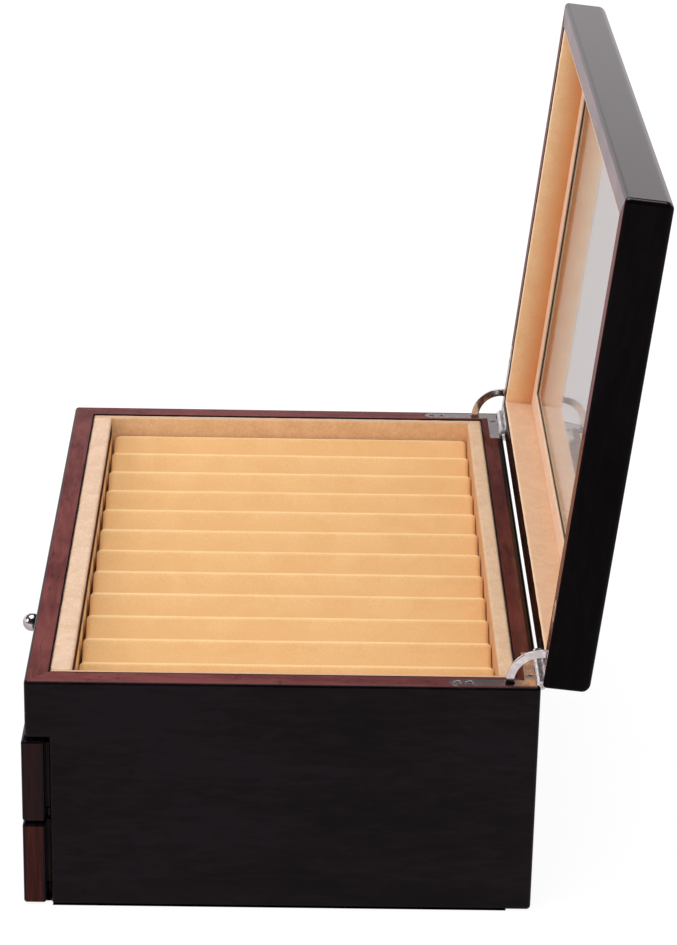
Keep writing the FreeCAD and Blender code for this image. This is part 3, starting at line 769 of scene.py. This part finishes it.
def circle(work, radius, height, segments):
    return [work.verts.new((radius * math.cos(math.tau * turn / segments),
                            radius * math.sin(math.tau * turn / segments), height))
            for turn in range(segments)]


def lathe(profile, segments):
    """A turned shape from (radius, height) points that start and end on the axis."""
    work = bmesh.new()
    rings = [circle(work, *point, segments) for point in profile[1:-1]]
    join_rings(work, rings)
    for ring, (_, height) in ((rings[0], profile[0]), (rings[-1], profile[-1])):
        tip = work.verts.new((0, 0, height))
        for index in range(segments):
            work.faces.new((ring[index], ring[(index + 1) % segments], tip))
    return work


# ---- Pen pads ----

def realized(tree, geometry, material):
    """Ends a geometry tree with plain faces in one material."""
    real = put(tree, "GeometryNodeRealizeInstances", {"Geometry": geometry.outputs[0]})
    done = put(tree, "GeometryNodeSetMaterial", {"Geometry": real.outputs[0], "Material": material})
    return give_out(tree, GEOMETRY, Geometry=done.outputs[0])


def pad_tree():
    """A pad of parallel pen grooves between rounded crests, rolled over at both ends."""
    sizes = ("Width", "Length", "Side", "Depth", "Crest Width", "Softness", "End Roll", "Corner",
             "Unevenness")
    tree, given = new_group(
        "grooved pad",
        [("Geometry", GEOMETRY, None), *((name, FLOAT, None) for name in sizes),
         *((name, COUNT, None) for name in ("Grooves", "Columns", "Rows")), ("Material", MATERIAL, None)],
        "GeometryNodeTree")
    width, length, side, depth, crest, softness, roll, corner, unevenness, grooves = (
        Amount(tree, given[name]) for name in (*sizes, "Grooves"))
    half_width, half_length = width * 0.5, length * 0.5
    pitch = (width - side * 2.0) / grooves
    across = width / pitch
    grid = put(tree, "GeometryNodeMeshGrid", {"Size X": across, "Size Y": 2.0, "Vertices Y": given["Rows"],
                                              "Vertices X": grooves * given["Columns"]})
    place = put(tree, "ShaderNodeSeparateXYZ", {0: put(tree, "GeometryNodeInputPosition").outputs[0]}).outputs
    count = Amount(tree, place[0]) + grooves * 0.5
    count = count - (count * math.tau).by("SINE") * (CREST_CROWDING / math.tau)
    half_across = across * 0.5
    from_middle = (count - grooves * 0.5).by("MINIMUM", half_across).by("MAXIMUM", half_across * -1.0)
    x = from_middle * pitch
    y = (Amount(tree, place[1]) * (math.pi / 2)).by("SINE") * half_length
    off_middle = abs(count.by("FRACT") - 0.5) * pitch
    chord = (pitch - crest) * 0.5
    hollow = (chord * chord + depth * depth) / (depth * 2.0)
    under = hollow * hollow - off_middle * off_middle
    rise = (hollow - under.by("SQRT")).by("SMOOTH_MIN", depth, softness)

    to_side, to_end = half_width - abs(x), half_length - abs(y)
    in_x, in_y = (corner - to_side).by("MAXIMUM", 0.0), (corner - to_end).by("MAXIMUM", 0.0)
    reach = (in_x * in_x + in_y * in_y).by("SQRT")
    held = corner / reach.by("MAXIMUM", corner)
    pull = held * -1.0 + 1.0
    x = x - x.by("SIGN") * (in_x * pull)
    y = y - y.by("SIGN") * (in_y * pull)
    edge = (corner - reach.by("MINIMUM", corner)).by("MINIMUM", to_end)
    short = roll - edge.by("MAXIMUM", 0.0).by("MINIMUM", roll)
    drop = roll - (roll * roll - short * short).by("MAXIMUM", 0.0).by("SQRT")
    flat = put(tree, "ShaderNodeCombineXYZ", {0: x, 1: y, 2: 0.0}).outputs[0]

    def waves(scale, detail):
        return Amount(tree, noise_of(tree, flat, scale, detail)) - 0.5

    height = rise - drop + waves(55.0, 3.0) * unevenness
    sway = waves(14.0, 1.0) * (unevenness * 4.0) * (to_side / pitch).by("MINIMUM", 1.0)
    target = put(tree, "ShaderNodeCombineXYZ", {0: x + sway, 1: y, 2: height}).outputs[0]
    shaped = put(tree, "GeometryNodeSetPosition", {"Geometry": grid.outputs["Mesh"], "Position": target})
    return realized(tree, shaped, given["Material"])


def grown_mesh(tree, values, start=None):
    """The plain mesh that a geometry tree makes from its named inputs and a starting mesh."""
    maker = show(bpy.data.objects.new("maker", start or bpy.data.meshes.new("maker")))
    modifier = maker.modifiers.new("maker", "NODES")
    modifier.node_group = tree
    for item in tree.interface.items_tree:
        if item.item_type == "SOCKET" and item.in_out == "INPUT" and item.name in values:
            modifier[item.identifier] = values[item.name]
    return taken_from(maker)


PAD_TREE = pad_tree()


def close_below(mesh, bottom):
    """Gives an open cover its sides and its underside, from the rim downwards."""
    work = bmesh.new()
    work.from_mesh(mesh)
    bmesh.ops.remove_doubles(work, verts=work.verts, dist=PAD_MERGE)
    loop = next(edge for edge in work.edges if edge.is_boundary).link_loops[0]
    rim = []
    while loop.vert not in rim:
        rim.append(loop.vert)
        loop = loop.link_loop_next
        while not loop.edge.is_boundary:
            loop = loop.link_loop_radial_next.link_loop_next
    foot = [work.verts.new((vertex.co.x, vertex.co.y, bottom)) for vertex in rim]
    join_rings(work, [rim, foot])
    work.faces.new(foot)
    for face in work.faces:
        face.material_index = loop.face.material_index
    bmesh.ops.recalc_face_normals(work, faces=work.faces)
    work.to_mesh(mesh)
    work.free()


def make_pad(node, grooves, material, body):
    low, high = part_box(node)
    middle = (low + high) / 2
    groove_bottom = high.z - GROOVE_DEPTH
    mesh = grown_mesh(PAD_TREE, {
        "Width": high.x - low.x, "Length": high.y - low.y, "Side": PAD_SIDE, "Grooves": grooves,
        "Columns": PAD_COLUMNS, "Rows": PAD_ROWS, "Depth": GROOVE_DEPTH,
        "Crest Width": CREST_WIDTH, "Softness": CREST_SOFTNESS, "End Roll": PAD_END_ROLL,
        "Corner": PAD_CORNER, "Unevenness": PAD_UNEVENNESS, "Material": material})
    close_below(mesh, low.z - groove_bottom)
    mesh.transform(Matrix.Translation((middle.x, middle.y, groove_bottom)))
    piece = add_piece(node, "_cover", mesh, None, body)


# ---- Cloth-covered strips ----

def make_strip(node, radius, axis, material, body):
    add_cloth(node, mesh_from(soft_bar(*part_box(node), radius, axis)), material, body)


def make_tray_cloth():
    for side in ("right", "left"):
        make_strip(side + "_tray_liner", LINER_ROUND, 1, LINER_SUEDE, "chest")
    for end, material in (("front", FRONT_LEDGE_SUEDE), ("rear", REAR_LEDGE_SUEDE)):
        make_strip(f"tray_{end}_ledge", LEDGE_ROUND, 0, material, "chest")
    make_pad("tray_insert", TRAY_GROOVES, PAD_SUEDE, "chest")


def make_lid_cloth():
    cloths = []
    for side, axis, material in (("front", 0, LINING_END), ("rear", 0, LINING_END),
                                 ("right", 1, LINING_SIDE), ("left", 1, LINING_SIDE)):
        node = f"lid_{side}_lining"
        cloths.append((node, soft_bar(*shut_box(node), LID_LINING_ROUND, axis), material))
    surround = soft_frame(shut_box("lid_window_surround"), window_opening(), SURROUND_ROUND)
    cloths.append(("lid_window_surround", surround, SURROUND_SUEDE))
    for node, work, material in cloths:
        work.transform(OPENED)
        add_cloth(node, mesh_from(work), material, "lid")


def window_opening():
    """The low and high corners of the window's opening with the lid shut: the surround's inner points."""
    points = [SHUT @ vertex.co for vertex in NODES["lid_window_surround"].data.vertices]
    edge = max(point.x for point in points)
    return corners_of([point for point in points if abs(point.x) < edge - MM])


def islands_of(mesh):
    """The separate solids of a mesh, each as a list of its points."""
    work = bmesh.new()
    work.from_mesh(mesh)
    bmesh.ops.remove_doubles(work, verts=work.verts, dist=SCREW_MERGE)
    unseen = set(work.verts)
    islands = []
    while unseen:
        queue = [unseen.pop()]
        found = [queue[0].co.copy()]
        while queue:
            for edge in queue.pop().link_edges:
                for vertex in edge.verts:
                    if vertex in unseen:
                        unseen.remove(vertex)
                        queue.append(vertex)
                        found.append(vertex.co.copy())
        islands.append(found)
    work.free()
    return sorted(islands, key=lambda points: tuple(round(value, 5) for value in corners_of(points)[0]))


def strips_round(node):
    """The low and high corners of the four strips that line a drawer, with the long ones at its sides."""
    points = [vertex.co for vertex in NODES[node].data.vertices]
    x, y = (sorted({round(point[axis], 5) for point in points}) for axis in (0, 1))
    low, high = corners_of(points)
    plans = [((x[0], y[0]), (x[1], y[3])), ((x[2], y[0]), (x[3], y[3])),
             ((x[1], y[0]), (x[2], y[1])), ((x[1], y[2]), (x[2], y[3]))]
    return [(Vector((*start, low.z)), Vector((*end, high.z))) for start, end in plans]


def make_drawer_cloth(name):
    """The four lining strips of a drawer as one piece, and its pen pad."""
    node = name + "_linings"
    work = bmesh.new()
    for low, high in strips_round(node):
        axis = 0 if high.x - low.x > high.y - low.y else 1
        strip = mesh_from(soft_bar(low, high, DRAWER_LINING_ROUND, axis))
        work.from_mesh(strip)
        bpy.data.meshes.remove(strip)
    add_cloth(node, mesh_from(work), DRAWER_LINING, name)
    make_pad(name + "_insert", DRAWER_GROOVES, DRAWER_SUEDE, name)


# ---- Metalwork ----

def soften_plate(node, body, edge=PLATE_EDGE):
    """The same plate with its sharp edges broken, in place of the plain one."""
    work = bmesh.new()
    work.from_mesh(NODES[node].data)
    bmesh.ops.remove_doubles(work, verts=work.verts, dist=PLATE_MERGE)
    bmesh.ops.dissolve_limit(work, angle_limit=math.radians(1), verts=work.verts, edges=work.edges)
    maker = show(bpy.data.objects.new("maker", mesh_from(work)))
    bevel = maker.modifiers.new("edges", "BEVEL")
    bevel.width = edge
    bevel.segments = 2
    bevel.limit_method = "ANGLE"
    bevel.angle_limit = SHARP_ANGLE
    add_piece(node, "_polished", taken_from(maker), NICKEL, body, smooth=False)


def screw_mesh():
    """A countersunk screw along Z, with its head's rim at 0, a domed top and a tapered cross recess."""
    half, arm = RECESS_WIDTH / 2, RECESS_LENGTH / 2
    cross = [(arm, -half), (arm, half), (half, half), (half, arm), (-half, arm), (-half, half),
             (-arm, half), (-arm, -half), (-half, -half), (-half, -arm), (half, -arm), (half, -half)]
    work = bmesh.new()
    top = [work.verts.new((x, y, SCREW_DOME - 0.03 * MM)) for x, y in cross]
    deep = [work.verts.new((x * RECESS_TAPER, y * RECESS_TAPER, -RECESS_DEPTH)) for x, y in cross]
    rings = [circle(work, radius, height, SCREW_SEGMENTS) for radius, height in (
        (SCREW_HEAD_RADIUS * 0.72, SCREW_DOME * 0.8), (SCREW_HEAD_RADIUS * 0.93, SCREW_DOME * 0.3),
        (SCREW_HEAD_RADIUS, -0.1 * MM), (SCREW_SHANK_RADIUS, -SCREW_CONE_DEPTH),
        (SCREW_SHANK_RADIUS, -SCREW_LENGTH + 0.5 * MM), (SCREW_SHANK_RADIUS * 0.4, -SCREW_LENGTH))]
    join_rings(work, rings)
    join_rings(work, [top, deep])
    work.faces.new(deep)
    work.faces.new(rings[-1])
    pairs = [pair for ring in (top, rings[0]) for pair in zip(ring, ring[1:] + ring[:1])]
    edges = [work.edges.get(pair) or work.edges.new(pair) for pair in pairs]
    bmesh.ops.triangle_fill(work, edges=edges, use_beauty=True, use_dissolve=False)
    return mesh_from(work)


def screw_tree():
    """One screw on each point, each turned by its own amount about its own axis."""
    tree, given = new_group(
        "screws on points",
        [("Geometry", GEOMETRY, None), ("Screw", "NodeSocketObject", None), ("Turn Seed", COUNT, 3),
         ("Material", MATERIAL, None)], "GeometryNodeTree")
    shape = put(tree, "GeometryNodeObjectInfo", {"Object": given["Screw"]})
    turn = put(tree, "FunctionNodeRandomValue", {"Seed": given["Turn Seed"], 2: 0.0, 3: math.pi / 2},
               data_type="FLOAT")
    rotation = put(tree, "ShaderNodeCombineXYZ", {2: turn.outputs[1]}).outputs[0]
    placed = put(tree, "GeometryNodeInstanceOnPoints", {
        "Points": given["Geometry"], "Instance": shape.outputs["Geometry"], "Rotation": rotation})
    return realized(tree, placed, given["Material"])


def make_screws(node, body, to_local, from_local, tree, screw):
    """The screws of one body, with their heads towards +Z of the local frame that they are placed in."""
    places = []
    for points in islands_of(NODES[node].data):
        low, high = corners_of([to_local @ point for point in points])
        places.append(((low.x + high.x) / 2, (low.y + high.y) / 2, high.z))
    start = bpy.data.meshes.new("places")
    start.from_pydata(places, [], [])
    mesh = grown_mesh(tree, {"Screw": screw, "Turn Seed": len(body), "Material": SCREW_STEEL}, start)
    mesh.transform(from_local)
    add_piece(node, "_turned", mesh, None, body, smooth=False)


def make_all_screws():
    screw = show(bpy.data.objects.new("screw_pattern", screw_mesh()))
    tree = screw_tree()
    as_it_is = Matrix.Identity(4)
    make_screws("hinge_base_screws", "chest", as_it_is, as_it_is, tree, screw)
    over = Matrix.Rotation(math.pi, 4, "X")
    make_screws("hinge_lid_screws", "lid", over.inverted() @ SHUT, OPENED @ over, tree, screw)
    bpy.data.objects.remove(screw)


def make_hinges():
    for side in ("right", "left"):
        soften_plate(side + "_hinge_base_leaf", "chest")
        soften_plate(side + "_hinge_lid_leaf", "lid")
        soften_plate(side + "_hinge_stay", side + "_stay", STAY_EDGE)
        give_finish(NODES[side + "_hinge_pin"], SCREW_STEEL)
    make_all_screws()


def make_knob(drawer):
    """A turned ball knob: rose, stem and ball in one, on the middle of the drawer's front."""
    node = drawer + "_knob"
    low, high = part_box(node)
    ball = (high.x - low.x) / 2
    reach = high.y - low.y - ball
    joint = math.asin(KNOB_STEM / ball)
    profile = [(0, 0), (KNOB_ROSE, 0), (KNOB_ROSE, KNOB_ROSE_HIGH - KNOB_EDGE),
               (KNOB_ROSE - KNOB_EDGE, KNOB_ROSE_HIGH), (KNOB_STEM + 0.4 * MM, KNOB_ROSE_HIGH + 0.1 * MM),
               (KNOB_STEM, KNOB_ROSE_HIGH + 0.5 * MM)]
    for step in range(KNOB_STEPS):
        angle = math.pi - joint - (math.pi - joint) * step / KNOB_STEPS
        profile.append((ball * math.sin(angle), reach + ball * math.cos(angle)))
    profile.append((0, reach + ball))
    work = lathe(profile, KNOB_SEGMENTS)
    middle = (low + high) / 2
    work.transform(Matrix.Translation((middle.x, high.y, middle.z)) @ Matrix.Rotation(math.pi / 2, 4, "X"))
    add_piece(node, "_turned", mesh_from(work), NICKEL, drawer)
    give_finish(NODES[drawer + "_knob_screw"], SCREW_STEEL)


# ---- Setting, light and camera ----

WHITE = (1, 1, 1, 1)
BACKDROP = (0.66, 0.61, 0.62, 1.0)
FLOOR_SIZE = 14.0
FLOOR_LIT, FLOOR_SHADED, FLOOR_GLOW = tint(232, 231, 229), tint(110, 109, 110), 0.9
PANEL_SETBACK, GAP_SETBACK, FLOOR_PAINTED_SHADE_FADE = 12 * MM, 4 * MM, 0.3 * MM
SKY_IN_POLISH = (1, 0.96, 0.975, 1)
# Each runs from one value along an axis to another, between two strengths.
FLOOR_IN_POLISH_ALONG_X = (0.0, 0.2, 1.0, 1.4)
FILL_ALONG_X = (-0.3, 0.7, 0.5, 1.1)
SKY_ALONG_Z, SKY_ALONG_X = (0.3, 0.41, 1.0, 0.1), (-0.2, 0.6, 1.0, 0.08)
# Place, aim, width and watts of each lamp.
SOFTBOXES = {"softbox_above": ((-0.25, -0.15, 1.7), (0, 0, 0.1), 1.3, 16.0),
             "softbox_front": ((0.5, -1.5, 0.9), (0, 0, 0.15), 0.9, 4.0)}


def shine(tree, colour, strength, kind="ShaderNodeEmission"):
    return put(tree, kind, {"Color": colour, "Strength": strength}).outputs[0]


def diffuse(tree, colour):
    return put(tree, "ShaderNodeBsdfDiffuse", {"Color": colour}).outputs[0]


def by_ray(tree, lit, mirrored, through, shown):
    """What lights the object, what its polish mirrors, what glass lets through and what the eye sees."""
    path = put(tree, "ShaderNodeLightPath").outputs
    mixed = lit
    for ray, seen in (("Glossy", mirrored), ("Transmission", through), ("Camera", shown)):
        mixed = put(tree, "ShaderNodeMixShader", {0: path[f"Is {ray} Ray"], 1: mixed, 2: seen}).outputs[0]
    return mixed


def beyond(tree, place, *halves):
    """1 outside a rectangle of the given half sizes round the origin, and 0 inside it."""
    sides = [ramp_between(tree, size_of(tree, place[axis]), half, half + FLOOR_PAINTED_SHADE_FADE)
             for axis, half in zip("XY", halves)]
    return sum_of(tree, *sides, "MAXIMUM")


def make_floor():
    """A pale floor, painted black as shade under the chest and in the gap behind the drawers' fronts."""
    bpy.ops.mesh.primitive_plane_add(size=FLOOR_SIZE, location=(0, 0, 0))
    floor = bpy.context.object
    floor.name = "floor"
    made = bpy.data.materials.new("pale_floor")
    made.use_nodes = True
    tree = made.node_tree
    tree.nodes.remove(tree.nodes["Principled BSDF"])
    place = put(tree, "ShaderNodeSeparateXYZ", {0: put(tree, "ShaderNodeTexCoord").outputs["Object"]}).outputs
    half = (CHEST_BOX[1] - CHEST_BOX[0]) / 2
    # Painted shade: open_floor is 0 under the chest and in the gap behind the drawers' fronts, where the
    # floor is painted black.
    open_floor = sum_of(tree, beyond(tree, place, half.x, half.y - PANEL_SETBACK),
                        beyond(tree, place, half.x - GAP_SETBACK, half.y - GAP_SETBACK), "MINIMUM")
    reach = product_of(tree, ramp_between(tree, place["X"], *FLOOR_IN_POLISH_ALONG_X), open_floor)
    shaded = diffuse(tree, mix_colours(tree, open_floor, (0, 0, 0, 1), FLOOR_SHADED))
    glow = shine(tree, WHITE, product_of(tree, open_floor, FLOOR_GLOW))
    shown = put(tree, "ShaderNodeAddShader", {0: shaded, 1: glow}).outputs[0]
    seen = by_ray(tree, diffuse(tree, FLOOR_LIT), shine(tree, BACKDROP, reach),
                  shine(tree, BACKDROP, 1.0), shown)
    tree.links.new(seen, tree.nodes["Material Output"].inputs["Surface"])
    floor.data.materials.append(made)


def make_world():
    """A pale studio whose far side is bright near the horizon, and whose near side is dark in the polish."""
    world = bpy.data.worlds.new("studio")
    bpy.context.scene.world = world
    world.use_nodes = True
    tree = world.node_tree
    tree.nodes.clear()
    direction = put(tree, "ShaderNodeTexCoord").outputs["Generated"]
    way = put(tree, "ShaderNodeSeparateXYZ", {0: direction}).outputs
    fill = ramp_between(tree, way["X"], *FILL_ALONG_X)
    sky = product_of(tree, ramp_between(tree, way["Z"], *SKY_ALONG_Z),
                     ramp_between(tree, way["X"], *SKY_ALONG_X))
    rays = [shine(tree, colour, strength, "ShaderNodeBackground") for colour, strength in (
        (WHITE, fill), (SKY_IN_POLISH, sky), (BACKDROP, 1.0), (WHITE, 1.0))]
    out = tree.nodes.new("ShaderNodeOutputWorld")
    tree.links.new(by_ray(tree, *rays), out.inputs["Surface"])


def make_lamp(name, place, aim, width, watts):
    data = bpy.data.lights.new(name, "AREA")
    data.shape = "RECTANGLE"
    data.size = data.size_y = width
    data.energy = watts
    lamp = show(bpy.data.objects.new(name, data))
    lamp.location = place
    lamp.rotation_euler = (Vector(aim) - Vector(place)).to_track_quat("-Z", "Y").to_euler()


def make_camera():
    data = bpy.data.cameras.new("camera")
    camera = show(bpy.data.objects.new("camera", data))
    data.sensor_fit = "VERTICAL"
    data.sensor_height = SENSOR
    data.lens = FOCAL_PIXELS / PICTURE[1] * SENSOR
    data.shift_y = (PRINCIPAL_ROW - PICTURE[1] / 2) / PICTURE[1]
    data.clip_start = 0.05
    level = math.cos(CAMERA_ELEVATION)
    forward = Vector((-math.sin(CAMERA_AZIMUTH) * level, math.cos(CAMERA_AZIMUTH) * level,
                      -math.sin(CAMERA_ELEVATION)))
    right = forward.cross(Vector((0, 0, 1))).normalized()
    up = right.cross(forward)
    turned = right * math.cos(CAMERA_ROLL) + up * math.sin(CAMERA_ROLL)
    up = turned.cross(forward)
    axes = Matrix((turned, up, -forward)).transposed()
    camera.matrix_world = Matrix.Translation(CAMERA_PLACE) @ axes.to_4x4()
    bpy.context.scene.camera = camera


# ---- Assembly ----

finish_boards()
make_tray_cloth()
make_lid_cloth()
for drawer in DRAWERS:
    make_drawer_cloth(drawer)
    make_knob(drawer)
make_hinges()
make_floor()
make_world()
for name, values in SOFTBOXES.items():
    make_lamp(name, *values)
make_camera()
bpy.context.scene.view_settings.view_transform = "Standard"
